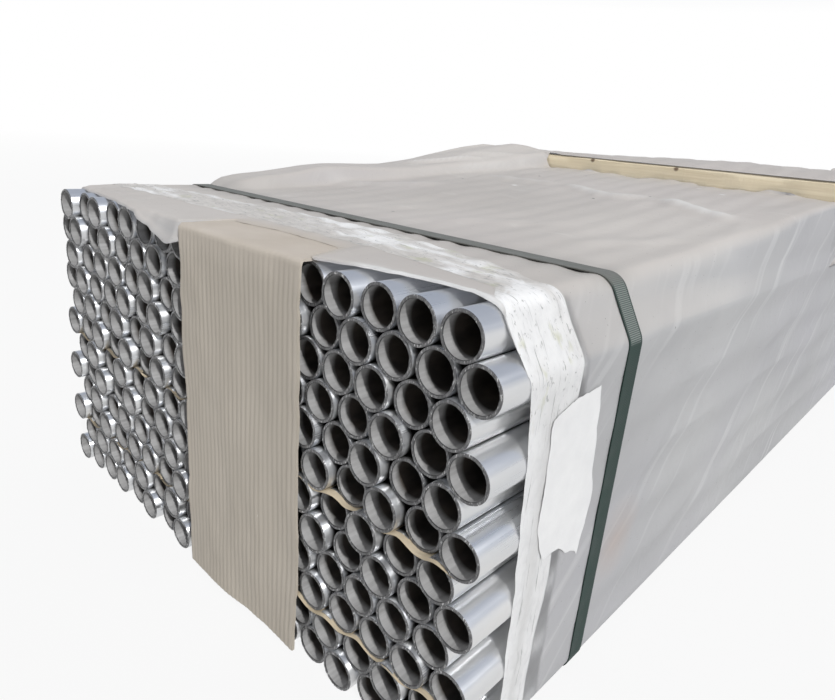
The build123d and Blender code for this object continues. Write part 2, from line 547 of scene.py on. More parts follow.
def film_material():
    """Milky polythene, painted lighter and warmer on top and greyer and bluish on the upright sides as
    painted light and painted sky reflection; the sides' paler slanting streaks are painted light along
    their waves.
    """
    shader = Shader("milky_film", Specular_IOR_Level=0.35)
    upward = shader.upward(0.2, 0.95)
    clouds = shader.noise((5, 2.2, 5), 4.0)
    tint = shader.noise((2.6, 1.7, 2.6), 2.0)
    streaks = shader.noise((1, 2.5, 55), 2.0, 0.45, 0.2, shader.turned(streak_angle))
    wrinkles = shader.noise((14, 30, 30), 5.0, 0.6, 0.8)
    specks = shader.noise((330, 330, 330), 2.0)
    # Painted light and painted sky reflection: greyer, bluish sides and a lighter, warmer top, chosen by
    # how far each face turns up
    side = shader.blend(clouds, 0.35, 0.68, (0.48, 0.48, 0.49), (0.60, 0.60, 0.60))
    side = shader.blend(tint, 0.45, 0.65, side, (0.54, 0.535, 0.565), 0.6)
    # Painted light: paler slanting streaks along the side's waves
    side = shader.blend(streaks, 0.58, 0.76, side, (0.76, 0.76, 0.76), 0.6)
    top = shader.blend(clouds, 0.32, 0.7, (0.64, 0.60, 0.56), (0.77, 0.73, 0.69))
    top = shader.blend(tint, 0.45, 0.65, top, (0.73, 0.68, 0.65), 0.5)
    top = shader.blend(wrinkles, 0.60, 0.75, top, (0.86, 0.84, 0.80), 0.35)
    tone = shader.mix(upward, side, top)
    dirty = shader.ramp(specks, 0.73, 0.76, 0, 0.7)
    dirty = shader.math("MAXIMUM", dirty, shader.near_any(dark_specks, speck_radius))
    tone = shader.mix(dirty, tone, (0.16, 0.15, 0.14))
    rust = shader.near(stain_place, stain_radius, stain_blur)
    rust = shader.math("MULTIPLY", rust, shader.ramp(clouds, 0.3, 0.6))
    tone = shader.mix(shader.math("MULTIPLY", rust, 0.35), tone, (0.66, 0.46, 0.34))
    # Painted highlight: fold crests and the glint spots turn near-white
    pale = shader.math("MULTIPLY", shader.value("crease"), 0.8)
    pale = shader.math("MAXIMUM", pale, shader.near_any(glint_specks, 2 * speck_radius))
    tone = shader.mix(pale, tone, (0.93, 0.92, 0.90))
    dusty = shader.math("MULTIPLY", shader.value("by_strap"), shader.ramp(clouds, 0.3, 0.65, 0.2, 0.7))
    tone = shader.mix(dusty, tone, (0.45, 0.435, 0.41))
    tone = shader.mix(shader.value("over_board"), tone, (0.68, 0.62, 0.55))
    tone = shader.mix(shader.value("hem"), tone, (0.92, 0.92, 0.91))
    shader.set("Base Color", tone)
    shader.set("Roughness", shader.ramp(clouds, 0.3, 0.7, 0.42, 0.56))
    relief = shader.math("ADD", shader.math("ADD", streaks, clouds), wrinkles)
    shader.bump(relief, 0.0028, 0.4)
    under_tape = shader.value("under_tape")
    share = shader.ramp(under_tape, 0, 1, film_see_through, under_tape_see_through)
    shader.let_through(share, shader.mix(under_tape, tone, (0.92, 0.92, 0.91)))
    return shader.material


def tape_material():
    """Tape over the film's edge: white round the sides, grey and see-through looking on top, stained."""
    shader = Shader("white_tape", Coat_Weight=0.2, Coat_Roughness=0.25)
    crumple = shader.noise((70, 130, 70), 5.0, 0.6, 0.6)
    patches = shader.noise((30, 45, 30), 3.0)
    scuffs = shader.noise((45, 420, 22), 4.0)
    cracks = shader.noise((120, 260, 120), 5.0, 0.6, 0.8)
    grey_tone = shader.blend(crumple, 0.35, 0.65, (0.69, 0.66, 0.62), (0.87, 0.84, 0.80))
    white_tone = shader.blend(crumple, 0.30, 0.58, (0.90, 0.90, 0.90), (1.0, 1.0, 0.995))
    tone = shader.mix(shader.value("white"), grey_tone, white_tone)
    stained = shader.math("MULTIPLY", shader.value("stained"), shader.ramp(patches, 0.60, 0.72, 0, 0.6))
    tone = shader.mix(stained, tone, (0.64, 0.65, 0.44))
    tone = shader.blend(scuffs, 0.62, 0.70, tone, (0.38, 0.38, 0.37), 0.7)
    cracked = shader.math("MULTIPLY", shader.value("stained"), shader.ramp(cracks, 0.60, 0.66, 0, 0.75))
    tone = shader.mix(cracked, tone, (0.40, 0.395, 0.385))
    between_strips = shader.math("MULTIPLY", shader.value("between_strips"), 0.4)
    tone = shader.mix(between_strips, tone, (0.68, 0.67, 0.655))
    shader.set("Base Color", tone)
    shader.set("Roughness", shader.ramp(crumple, 0.3, 0.7, 0.28, 0.52))
    shader.bump(crumple, 0.0016, 0.6)
    share = shader.ramp(shader.value("thick"), 0, 1, tape_see_through, thick_tape_see_through)
    shader.let_through(share, tone)
    return shader.material


def cardboard_material():
    """Grey-brown board: flute crests painted paler and valleys darker as painted light and shade, rubbed
    pale below the fold, scuffed.
    """
    shader = Shader("cardboard", Roughness=0.85)
    crest = shader.value("crest")
    fibres = shader.noise((900, 900, 120), 3.0)
    clouds = shader.noise((14, 14, 7), 5.0)
    streaks = shader.noise((140, 140, 3), 2.0)
    scuffs = shader.noise((130, 130, 60), 2.0)
    # Painted light and shade: paler on the flute crests, darker in the valleys
    tone = shader.mix(crest, (0.47, 0.425, 0.355), (0.57, 0.515, 0.44))
    tone = shader.blend(clouds, 0.4, 0.75, tone, (0.46, 0.41, 0.34), 0.4)
    tone = shader.blend(streaks, 0.5, 0.8, tone, (0.61, 0.555, 0.48), 0.3)
    tone = shader.blend(scuffs, 0.76, 0.80, tone, (0.70, 0.66, 0.60), 0.6)
    height = shader.axes(shader.place)[2]
    rubbed = shader.ramp(height, board_high.z - board_rubbed_reach, board_high.z, 0, 0.7)
    tone = shader.mix(rubbed, tone, (0.62, 0.555, 0.48))
    flap = shader.blend(clouds, 0.35, 0.7, (0.51, 0.455, 0.39), (0.575, 0.52, 0.46))
    shader.set("Base Color", shader.mix(shader.upward(0.3, 0.9), tone, flap))
    shader.bump(fibres, 0.0003, 0.5)
    return shader.material


def timber_material():
    """Sawn softwood: pale, with darker lines along the board, knots and saw marks."""
    shader = Shader("sawn_timber", Roughness=0.78)
    drift = shader.noise((3, 20, 20), 3.0)
    grain = shader.noise((5, 170, 170), 4.0, 0.6, 0.5)
    saw = shader.noise((420, 6, 18), 2.0)
    knots = shader.noise((11, 22, 26), 1.0)
    tone = shader.blend(grain, 0.3, 0.7, (0.71, 0.60, 0.41), (0.92, 0.82, 0.62))
    tone = shader.blend(drift, 0.4, 0.7, tone, (0.83, 0.75, 0.58), 0.4)
    knot = shader.ramp(knots, 0.74, 0.80)
    for place in knots_on_edge:
        knot = shader.math("MAXIMUM", knot, shader.near(place, knot_radius, knot_radius))
    shader.set("Base Color", shader.mix(knot, tone, (0.20, 0.14, 0.09)))
    shader.bump(shader.math("ADD", saw, grain), 0.0012, 0.5)
    return shader.material


def strap_material():
    """Dark green plastic, with a painted highlight on the ribs at the bends, and dusty on the upper run.
    """
    shader = Shader("green_strap", Specular_IOR_Level=0.12)
    wear = shader.noise((60, 60, 60), 4.0)
    tone = shader.blend(wear, 0.35, 0.7, (0.015, 0.033, 0.028), (0.029, 0.051, 0.044))
    tone = shader.mix(shader.value("dust"), tone, (0.140, 0.142, 0.130))
    # Painted highlight: the ribs at the bends turn pale
    rubbed = shader.math("MULTIPLY", shader.value("rib"), shader.value("rubbed"))
    shader.set("Base Color", shader.mix(rubbed, tone, (0.27, 0.30, 0.285)))
    shader.set("Roughness", shader.ramp(wear, 0.3, 0.7, 0.42, 0.6))
    return shader.material


def paper_material(name, tone_low, tone_high, roughness=0.85):
    """Paper with fine fibres, cloudy between two tones."""
    shader = Shader(name, Roughness=roughness)
    fibres = shader.noise((700, 500, 700), 4.0)
    clouds = shader.noise((35, 35, 35), 4.0)
    tone = shader.blend(clouds, 0.3, 0.7, tone_low, tone_high)
    shader.set("Base Color", shader.blend(fibres, 0.5, 0.8, tone, tone_low, 0.25))
    shader.bump(shader.math("ADD", fibres, clouds), 0.0005, 0.4)
    return shader.material


# Pipes

def pipe_rings():
    """Rings once round the wall's section: radius, place along the pipe, jitter, 1 for the inner edge."""
    near_end = [
        (pipe_radius, rim_bevel, 0.0, 0),
        (pipe_radius - rim_bevel / 2, rim_bevel / 6, 1.0, 0),
        (pipe_radius - 1.4 * rim_bevel, 0.0, 1.0, 0),
        (bore_radius + 1.4 * rim_bevel, 0.0, 1.0, 0),
        (bore_radius + rim_bevel / 3, rim_bevel / 4, 1.6, 1),
        (bore_radius, 1.3 * rim_bevel, 0.2, 0),
    ]
    far_end = [(radius, pipe_length - depth, *rest) for radius, depth, *rest in reversed(near_end)]
    return np.array(near_end + far_end)


def pipe_points(row, pipe, segments):
    """Points of one pipe as (ring, segment, axis), with a sawn rim that isn't quite square or smooth."""
    radius, along, jitter, inner_edge = pipe_rings().T[..., None]
    seed = 31.0 * row + pipe
    turn = np.linspace(0, 2 * math.pi, segments, endpoint=False)
    places = np.arange(segments)
    near = along < half_length
    rough = 2 * hash_unit(places, np.where(near, 1.0, 2.0), seed) - 1
    along = along + jitter * rim_roughness * rough
    burr = np.clip(noise(turn * 3.2, 0, seed), 0, 1) * hash_unit(places, 7.0, seed)
    radius = radius - inner_edge * burr_height * burr
    lean = 2 * math.pi * hash_unit(3.0, row, pipe)
    across = np.cos(turn - lean) * radius
    along = along + saw_tilt * across * np.where(near, 1.0, -1.0)
    x = pipe_x(row, pipe) + radius * np.cos(turn)
    y = pipe_shift(row, pipe) - half_length + along
    z = row_height(row) + radius * np.sin(turn)
    return join(x, y, z)


def enclosed_share(row, pipe, segments):
    """1 where the pipe's outside faces other pipes and 0 where it faces out of the bundle; it masks the
    painted shade between the pipes.
    """
    turn = np.linspace(0, 2 * math.pi, segments, endpoint=False)
    faces_out = np.zeros(segments)
    open_ways = (
        (row == 1, np.sin(turn)),
        (row == row_count, -np.sin(turn)),
        (pipe == 1, np.cos(turn)),
        (pipe == pipes_in(row), -np.cos(turn)),
    )
    for is_open, toward in open_ways:
        if is_open:
            faces_out = np.maximum(faces_out, step_between(toward, *open_slope))
    return 1 - faces_out


def pipe_piece(name, pipes, segments, materials, node):
    """Some pipes as one piece, with a material for the quads from each ring to the next."""
    rings = pipe_rings()
    outside, bore, rim = 0, 1, 2
    ring_materials = [rim] * 5 + [bore] + [rim] * 5 + [outside]
    vertices = [pipe_points(row, pipe, segments) for row, pipe in pipes]
    quads = grid_faces(len(rings), segments, round_rows=True, round_columns=True)
    faces = [quads + count * len(rings) * segments for count in range(len(pipes))]
    face_materials = np.tile(np.repeat(ring_materials, segments), len(pipes))
    piece = make_piece(name, vertices, faces, materials, node, face_materials, sharp=40)
    enclosed = [np.tile(enclosed_share(row, pipe, segments), len(rings)) for row, pipe in pipes]
    inner_edge = np.tile(np.repeat(rings[:, 3], segments), len(pipes))
    add_point_values(piece, enclosed=enclosed, inner_edge=inner_edge)


def is_hidden(row, pipe):
    """Whether the end boards hide this pipe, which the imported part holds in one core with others."""
    middle = (board_low.x + board_high.x) / 2
    cover = (board_high.x - board_low.x) / 2 - pipe_radius
    return abs(pipe_x(row, pipe) - middle) <= cover


def make_pipes():
    materials = [outside_material(), bore_material(), rim_material()]
    hidden = []
    for row in range(1, row_count + 1):
        pipes = [(row, pipe) for pipe in range(1, pipes_in(row) + 1)]
        hidden += [place for place in pipes if is_hidden(*place)]
        shown = [place for place in pipes if not is_hidden(*place)]
        pipe_piece(f"pipes_{row:02d}", shown, pipe_segments, materials, f"pipe_row_{row:02d}")
    pipe_piece("pipes_behind_boards", hidden, hidden_segments, materials, "hidden_pipe_core")


# Plastic film

# Each fold of the film is its start, its end, its height and its width
side_folds = (
    ((-2.774, 0.147), (-2.623, 0.277), 0.0022, 0.014),
    ((-2.661, 0.067), (-2.418, 0.149), 0.0020, 0.016),
    ((-2.675, 0.278), (-2.626, 0.372), 0.0016, 0.014),
    ((-2.560, 0.060), (-2.300, 0.180), 0.0020, 0.018),
    ((-2.420, 0.250), (-2.120, 0.330), 0.0022, 0.020),
)
top_folds = (
    ((-0.200, -2.300), (-0.003, -2.277), 0.0060, 0.014),
    ((-0.020, -2.277), (0.125, -2.356), 0.0075, 0.014),
    ((0.100, -2.356), (0.170, -2.290), 0.0060, 0.014),
    ((0.150, -2.300), (0.345, -2.402), 0.0085, 0.016),
    ((-0.330, -2.640), (-0.120, -2.420), 0.0050, 0.018),
    ((0.040, -2.740), (0.200, -2.560), 0.0030, 0.016),
    ((-0.100, -2.760), (-0.010, -2.600), 0.0026, 0.014),
    ((0.230, -2.720), (0.345, -2.520), 0.0030, 0.018),
    ((-0.335, -2.420), (-0.245, -2.190), 0.0070, 0.009),
    ((-0.310, -2.240), (-0.215, -2.090), 0.0050, 0.008),
    ((-0.250, -2.330), (-0.200, -2.130), 0.0050, 0.008),
)

# Setback of the film's edge from the pipes' ends: by X on top, over the board too, and by Z on the sides
mouth_on_top = (
    (-0.350, 0.020), (-0.200, 0.006), (-0.150, -0.004), (-0.110, -0.014), (-0.034, -0.014),
    (-0.026, 0.050), (0.060, 0.060), (0.150, 0.056), (0.173, 0.004), (0.230, 0.019),
    (0.300, 0.026), (0.346, 0.026),
)
mouth_on_side = (
    (0.0, 0.062), (0.169, 0.054), (0.267, 0.047), (0.320, 0.041), (0.354, 0.035), (0.420, 0.022),
)

# How far the lip hangs down at the edge, by X
lip_droop = (
    (-0.350, 0.002), (-0.129, 0.003), (-0.086, 0.012), (-0.045, 0.024), (-0.032, 0.020),
    (-0.024, 0.0010), (0.165, 0.0010), (0.180, 0.0), (0.200, 0.0), (0.260, -0.002),
    (0.330, -0.003), (0.346, 0.0),
)

# Tape edges as setbacks from the pipes' ends: by X on top and by Z on the sides
tape_front_on_top = (
    (-0.350, 0.060), (0.0, 0.080), (0.200, 0.078), (0.275, 0.067), (0.327, 0.058), (0.346, 0.030),
)
tape_back_on_top = ((-0.350, 0.130), (0.080, 0.170), (0.170, 0.156), (0.263, 0.136), (0.337, 0.106))
tape_back_on_side = ((0.0, 0.098), (0.100, 0.099), (0.140, 0.107), (0.420, 0.106))

# Height of the film above the flat top along Y, where it covers the bearer
covered_rise = (
    (-2.787, 0.0), (-2.768, 0.011), (-2.74, 0.016), (-2.69, 0.021), (-2.60, 0.034),
    (-2.55, 0.038), (-2.40, 0.039), (-2.30, 0.048), (-2.18, 0.065), (-2.04, 0.084),
)

# Place across of that covering film's edge, along Y
covered_edge = (
    (-2.78, -0.275), (-2.60, -0.290), (-2.42, -0.265), (-2.20, -0.22), (-2.04, tear_left_end),
)


def hump(across):
    """Rise of the loose film over the bearer's -X end."""
    return hump_rise * bell(across, hump_x, np.where(across > hump_x, hump_right_width, hump_left_width))


def tent_front(across, y):
    """How far the film in front of the bearer stands above the flat top, at each x and y."""
    start = strap_places[0]
    share = np.clip((y - start) / (bearer_low.y - start), 0, 1)
    torn = tear_edge_height * ease(tear_curve * share) / ease(tear_curve)
    covering = read_table(y, covered_rise) + hump(across) * step_between(share, hump_start, 1)
    edge = read_table(y, covered_edge)
    covered = step_between(across, edge + tear_blend / 2, edge - tear_blend / 2)
    return between(torn, covering, covered)


def tent_behind(across, y):
    """How far the film from the bearer to the second strap stands above the flat top."""
    whole = bearer_high.z + film_over_bearer - film_top
    bulge = bulge_behind_bearer * step_between(y, bearer_low.y, bearer_high.y + bulge_reach)
    bulge = bulge * step_between(across, -bulge_half_width, bulge_half_width)
    fall = step_between(y, bearer_high.y + tent_level_reach, strap_places[1] - tent_foot)
    kept_hump = hump(across) * step_between(y, bearer_high.y + hump_fade, bearer_low.y + hump_fade / 2)
    return (whole + kept_hump + bulge) * (1 - fall)


def tent(across, y):
    """Height above the flat top; the far end has the same tent with no tear."""
    near = np.where(y < bearer_low.y, tent_front(across, y), tent_behind(across, y))
    closed = np.full_like(across, -side_pipe_x)
    mirrored = -y
    far_front = tent_front(closed, mirrored)
    far = np.where(mirrored < bearer_low.y, far_front, tent_behind(across, mirrored))
    return np.where(y < 0, near, far)


def fold_ridge(a, b, folds):
    """Soft ridges along straight creases; a and b are the two coordinates on that face."""
    height = np.zeros(np.broadcast(a, b).shape)
    for start, end, rise, width in folds:
        run = np.subtract(end, start)
        length = math.hypot(*run)
        along = ((a - start[0]) * run[0] + (b - start[1]) * run[1]) / length
        aside = ((b - start[1]) * run[0] - (a - start[0]) * run[1]) / length
        fade = ease(along / (fold_fade * length)) * ease((length - along) / (fold_fade * length))
        side_width = np.where(aside > 0, width * fold_gentle_side, width * fold_steep_side)
        height = height + rise * fade * bell(aside, 0, side_width)
    return height


def corner_tangent(low_centre, low_radius, high_centre, high_radius):
    """Angle of the outward normal of the straight film between two rounded corners."""
    run = high_centre - low_centre
    length = np.hypot(run[..., 0], run[..., 1])
    base = np.arctan2(-run[..., 0], run[..., 1])
    return base + np.arcsin(np.clip((low_radius - high_radius) / length, -1, 1))


def arc(centre, radius, start, end, count):
    """Points and outward normals round a corner of the film, for each row."""
    angle = between(start, end, np.linspace(0, 1, count))
    normal = join(np.cos(angle), np.sin(angle))
    return centre + np.asarray(radius)[..., None] * normal, normal


def line(start, end, normal, count):
    """Points and outward normals between two corners of the film, for each row."""
    share = np.linspace(0, 1, count + 1)[None, 1:-1, None]
    points = between(start, end, share)
    return points, np.broadcast_to(normal, points.shape)


def half_section(corner_height):
    """Right half of the film's outline, from the middle of the bottom to the shoulder's end.

    Gives points and outward normals as (row, column, axis) for each row's corner height.
    """
    rise = np.clip(corner_height / (bearer_high.z - film_top), 0, 1)[:, None]
    rows = len(rise)
    high_radius = between(film_radius, film_corner_over_bearer, rise)
    over_bearer_x = side_pipe_x + film_radius + film_over_bearer - film_corner_over_bearer
    high_x = between(top_pipe_x, over_bearer_x, rise)
    high_centre = join(high_x, film_top + corner_height[:, None] - high_radius)
    low_centre = np.broadcast_to(np.array([side_pipe_x, row_height(2)]), (rows, 1, 2))
    tangent = corner_tangent(low_centre, film_radius, high_centre, high_radius)
    foot = np.array([side_pipe_x, row_height(row_count)])
    down, flat, upright = (np.full((rows, 1), angle) for angle in (-math.pi / 2, 0.0, math.pi / 2))
    lower = arc(foot, film_radius, down, flat, film_corner_columns)
    middle = arc(low_centre, film_radius, flat, tangent, film_bend_columns)
    upper = arc(high_centre, high_radius, tangent, upright, film_corner_columns)
    bottom_start = np.broadcast_to(np.array([0.0, foot[1] - film_radius]), (rows, 1, 2))
    bottom = line(bottom_start, lower[0][:, :1], np.array([0.0, -1.0]), film_bottom_columns)
    side_columns = round((row_height(2) - foot[1]) / film_column_step)
    side = line(lower[0][:, -1:], middle[0][:, :1], np.array([1.0, 0.0]), side_columns)
    shoulder = line(middle[0][:, -1:], upper[0][:, :1], middle[1][:, -1:], film_shoulder_columns)
    parts = (bottom, lower, side, middle, shoulder, upper)
    return [np.concatenate([part[kind] for part in parts], axis=1) for kind in (0, 1)]


def film_section(y):
    """Whole outline for rows at y: points and outward normals as (row, column, axis), X and Z only.

    The columns run from the middle of the bottom up the +X side, over the top and down the -X side.
    """
    edge = np.full_like(y, top_pipe_x)
    right, right_normal = half_section(tent(edge, y))
    mirror = np.array([-1.0, 1.0])
    left, left_normal = ((part * mirror)[:, ::-1] for part in half_section(tent(-edge, y)))
    count = round(2 * top_pipe_x / film_column_step)
    share = np.linspace(0, 1, count + 1)[None, 1:-1]
    top_x = between(right[:, -1:, 0], left[:, :1, 0], share)
    top = join(top_x, film_top + tent(top_x, np.broadcast_to(y[:, None], top_x.shape)))
    top_normal = np.broadcast_to(np.array([0.0, 1.0]), top.shape)
    points = np.concatenate([right, top, left], axis=1)
    return points, np.concatenate([right_normal, top_normal, left_normal], axis=1)


def strap_distance(y):
    """Distance along the pipes to the middle of the nearest strap."""
    return np.min([np.abs(y - place) for place in strap_places], axis=0)


def film_relief(points, normals, y, from_edge):
    """How far the film stands out from its smooth outline: creases, sags and dips under the straps.

    from_edge is the distance behind the mouth's edge, where the lip droops or lifts.
    """
    x, z = points[..., 0], points[..., 1]
    upward = np.clip(normals[..., 1], 0, 1) ** 2
    sideways = np.abs(normals[..., 0]) ** 2
    at_strap = 1 - ease(strap_distance(y) / strap_dip_reach)
    loose = ease(strap_distance(y) / loose_reach)
    between_pipes = 0.5 - 0.5 * np.cos(2 * math.pi * (x - top_pipe_x) / pitch)
    uneven = np.clip(0.45 + 0.75 * noise(x / pitch, y * 3, 5.0), 0, 1.2)
    wrinkles = (1 - np.abs(noise(x * 13 + y * 2, y * 5, 6.0))) ** 4
    top = -strap_dip * at_strap * between_pipes * uneven - valley_sag * between_pipes * (1 - at_strap)
    waves = top_wave_height * layered_noise(x * 7, y * 4, 2.0) + top_wrinkle_height * wrinkles
    top = top + loose * (waves * ease(from_edge / lip_settle) + fold_ridge(x, y, top_folds))
    top = np.where(np.abs(y) > -board_high.y, np.maximum(top, -flap_clearance), top)
    top = top - read_table(x, lip_droop) * (1 - ease(from_edge / lip_droop_length))
    even_row_gap = (row_height(2) - z) / (row_height(2) - row_height(4))
    slack = step_between(half_length - np.abs(y), taut_end, taut_start)
    side = -side_sag * np.sin(math.pi * even_row_gap) ** 2 * (0.5 + 0.5 * loose) * (0.3 + 0.7 * slack)
    side = side + slack * loose * side_wave_height * layered_noise(y * 4.5, z * 9, 8.0)
    beside_bearer = step_between(z, row_height(1), row_height(1) + pipe_radius)
    side = side - beside_bearer * np.minimum(side, 0)
    ridges = fold_ridge(y, z, side_folds) * (x > 0)
    return upward * top + sideways * side + sideways * ridges


def outer_pipe_axes():
    """X and Z of the pipes that the film lies on."""
    top_axes = [(pipe_x(1, pipe), row_height(1)) for pipe in range(1, pipes_in(1) + 1)]
    side_rows = range(2, row_count + 1, 2)
    return top_axes + [(side * side_pipe_x, row_height(row)) for row in side_rows for side in (1, -1)]


def keep_off_pipes(points, y):
    """Points moved out to just beyond the pipes' surface, wherever a sag cut into a pipe."""
    beside_pipes = np.abs(y) < half_length + end_scatter
    reach = pipe_radius + film_off_pipes
    for axis in outer_pipe_axes():
        offset = points - np.array(axis)
        distance = np.hypot(offset[..., 0], offset[..., 1])
        inside = beside_pipes & (distance < reach)
        grown = reach / np.maximum(distance, film_off_pipes)
        points = np.where(inside[..., None], axis + offset * grown[..., None], points)
    return points


def top_share(normals):
    """0 on the sides, 1 on top and between them over the rounded corners."""
    return step_between(normals[..., 1], *top_slope)


def mouth_setback(points, normals):
    """Distance from the pipes' ends to the film's edge, for each column of the outline."""
    x, z = points[..., 0], points[..., 1]
    setback = between(read_table(z, mouth_on_side), read_table(x, mouth_on_top), top_share(normals))
    return setback + mouth_raggedness * layered_noise(x * 45, z * 45, 3.0)


def distance_from_edge(depth, setback):
    """Distance along the film from its edge, at a depth from the pipes' ends."""
    return np.where(depth < mouth_blend, (depth - setback) / (1 - setback / mouth_blend), depth)


def spaced(start, end, step):
    """Even places from start up to, but not at, end."""
    return np.linspace(start, end, max(2, round((end - start) / step)), endpoint=False)


def film_rows():
    """Places of the rows along the pipes, closest together at the mouths and over the near tent.

    The first and last row are the hems below the mouths' edges.
    """
    near, far = -half_length, half_length
    first_strap = strap_places[0] - strap_dip_reach
    last_strap = strap_places[-1] - strap_dip_reach
    tear = bearer_low.y
    return np.concatenate([
        [near],
        spaced(near, near + film_lip_length, film_lip_row_step),
        spaced(near + film_lip_length, first_strap, film_mouth_row_step),
        spaced(first_strap, tear - tear_row_offset, film_tent_row_step),
        [tear - tear_row_offset],
        spaced(tear + tear_row_offset, strap_places[1], film_behind_row_step),
        spaced(strap_places[1], strap_places[-2], film_middle_row_step),
        spaced(strap_places[-2], last_strap, 2 * film_behind_row_step),
        spaced(last_strap, far - film_lip_length, 2 * film_mouth_row_step),
        spaced(far - film_lip_length, far, film_lip_row_step),
        [far, far],
    ])


def open_tear(rows, points, normals, y):
    """Makes the torn edge ragged and lays the film behind it on the bearer, by changing points and y.

    Gives the number of the torn edge's row and which of its columns are torn.
    """
    row = int(np.argmin(np.abs(rows - bearer_low.y + tear_row_offset)))
    torn = (normals[row, :, 1] > 0.5) & (points[row, :, 0] > tear_left_end)
    x = points[row, torn, 0]
    y[row, torn] -= tear_raggedness * np.abs(layered_noise(x * 24, 0.0, 1.0))
    points[row, torn, 1] += 0.5 * tear_raggedness * layered_noise(x * 17, 0.0, 2.0)
    torn_off = step_between(x, tear_left_end, tear_left_end + tear_end_blend)
    on_bearer = bearer_high.z + tear_gap
    points[row + 1, torn, 1] += (on_bearer - points[row + 1, torn, 1]) * torn_off
    return row, torn


def make_film(material):
    rows = film_rows()
    points, normals = film_section(rows)
    x = points[..., 0]
    on_top = top_share(normals)
    from_edge = (half_length - np.abs(rows))[:, None]
    drawn_back = mouth_setback(points, normals) * (1 - np.clip(from_edge / mouth_blend, 0, 1))
    y = rows[:, None] - np.sign(rows)[:, None] * drawn_back
    relief = film_relief(points, normals, y, from_edge)
    moved = keep_off_pipes(points + normals * relief[..., None], y)
    over_board = (x > board_low.x) & (x < board_high.x) & (normals[..., 1] > 0.5)
    moved[[0, -1], :, 1] -= hem_drop * (on_top * ~over_board)[[0, -1]]
    y[0] -= hem_forward
    y[-1] += hem_forward
    moved[..., 1] = np.maximum(moved[..., 1], film_low.z)
    tear_row, torn = open_tear(rows, moved, normals, y)
    quads = grid_faces(*y.shape, round_columns=True)
    keep = np.ones(quads.shape[:2], bool)
    keep[tear_row] = ~torn
    vertices = join(moved[..., 0], y, moved[..., 1])
    piece = make_piece("film_wrap", vertices, quads[keep], [material], "wrap_film")
    # Painted highlight along the crests of the top folds
    crest = np.clip(fold_ridge(x, y, top_folds) / crease_height, 0, 1) ** 3
    add_point_values(
        piece,
        crease=crest * on_top,
        hem=bell(from_edge, 0, hem_width) * step_between(x, *hem_span) * on_top,
        over_board=over_board * step_between(from_edge, see_through_reach, 0),
        under_tape=(1 - on_top) * step_between(from_edge, under_tape_reach, 0.9 * under_tape_reach),
        by_strap=bell(strap_distance(y), 0, strap_dust_reach) * on_top,
    )


# Tape

def make_tape(side, end, material):
    """Tape over the film's edge; end is -1 at the near mouth and 1 at the far one."""
    points, normals = film_section(np.full(1, end * half_length))
    x, z = points[..., 0], points[..., 1]
    on_top = top_share(normals)
    setback = mouth_setback(points, normals)
    front = between(setback - 2 * hem_forward, read_table(x, tape_front_on_top), on_top)
    back = between(read_table(z, tape_back_on_side), read_table(x, tape_back_on_top), on_top)
    back = back + tape_wrinkle * noise(x * 40, z * 40, 6.0)
    share = np.linspace(0, 1, tape_rows)[:, None]
    depth = between(front, back, share)
    y = end * (half_length - depth)
    outline = np.repeat(points, tape_rows, axis=0)
    outward = np.repeat(normals, tape_rows, axis=0)
    relief = film_relief(outline, outward, y, distance_from_edge(depth, setback))
    wrinkles = np.abs(tape_wrinkle * layered_noise((x + z) * 60, y * 160, 9.0))
    pressed = step_between(z, label_low.z - label_press_margin, label_low.z)
    pressed = pressed * step_between(z, label_high.z + label_press_margin, label_high.z)
    wrinkles = wrinkles * np.sin(math.pi * share) ** 0.5 * (1 - 0.8 * pressed * (x > 0))
    lift = between(tape_edge_lift, tape_lift, np.sin(math.pi * share) ** 0.4)
    on_film = keep_off_pipes(outline + outward * relief[..., None], y)
    moved = on_film + outward * (lift + wrinkles)[..., None]
    moved[..., 1] = np.maximum(moved[..., 1], film_low.z - tape_lift)
    vertices = join(moved[..., 0], y, moved[..., 1])
    # The far tape is a mirror image, so its quads run the other way round
    quads = grid_faces(*y.shape, round_columns=True)[..., ::-end]
    name, node = f"mouth_tape_{side}", f"tape_band_{side}"
    piece = make_piece(name, vertices, quads, [material], node)
    crumpled = step_between(layered_noise(x * 22, y * 40, 3.0), 0.1, 0.9)
    crumpled = crumpled * step_between(x, *tape_crumple_span)
    strokes = 0.85 * step_between(layered_noise(x * 14, y * 70, 4.0), 0.3, 0.8)
    strip = bell(share, white_strip_place, white_strip_width) * step_between(x, *white_strip_span)
    strokes = strokes + strip * step_between(noise(x * 26, y * 90, 5.0), -0.7, 0.3)
    white_on_top = on_top * np.clip(crumpled + strokes, 0, 1)
    seam = bell(share, tape_seam_place, tape_seam_width)
    add_point_values(
        piece,
        white=1 - on_top + white_on_top,
        thick=white_on_top,
        stained=np.broadcast_to(step_between(z, *tape_stain_heights), y.shape),
        between_strips=(1 - step_between(z, *tape_seam_heights)) * seam,
    )


# Straps

def strap_outline(place):
    """Closed outline of a taut strap's inner face, evenly spaced along its length."""
    points, _ = film_section(np.full(1, place))
    outline = points[0]
    closed = np.concatenate([outline, outline[:1]])
    lengths = np.hypot(*np.diff(closed, axis=0).T)
    travelled = np.concatenate([[0], np.cumsum(lengths)])
    count = round(travelled[-1] / strap_rib_pitch) * strap_samples_per_rib
    stations = np.linspace(0, travelled[-1], count, endpoint=False)
    return join(*(np.interp(stations, travelled, axis) for axis in closed.T))


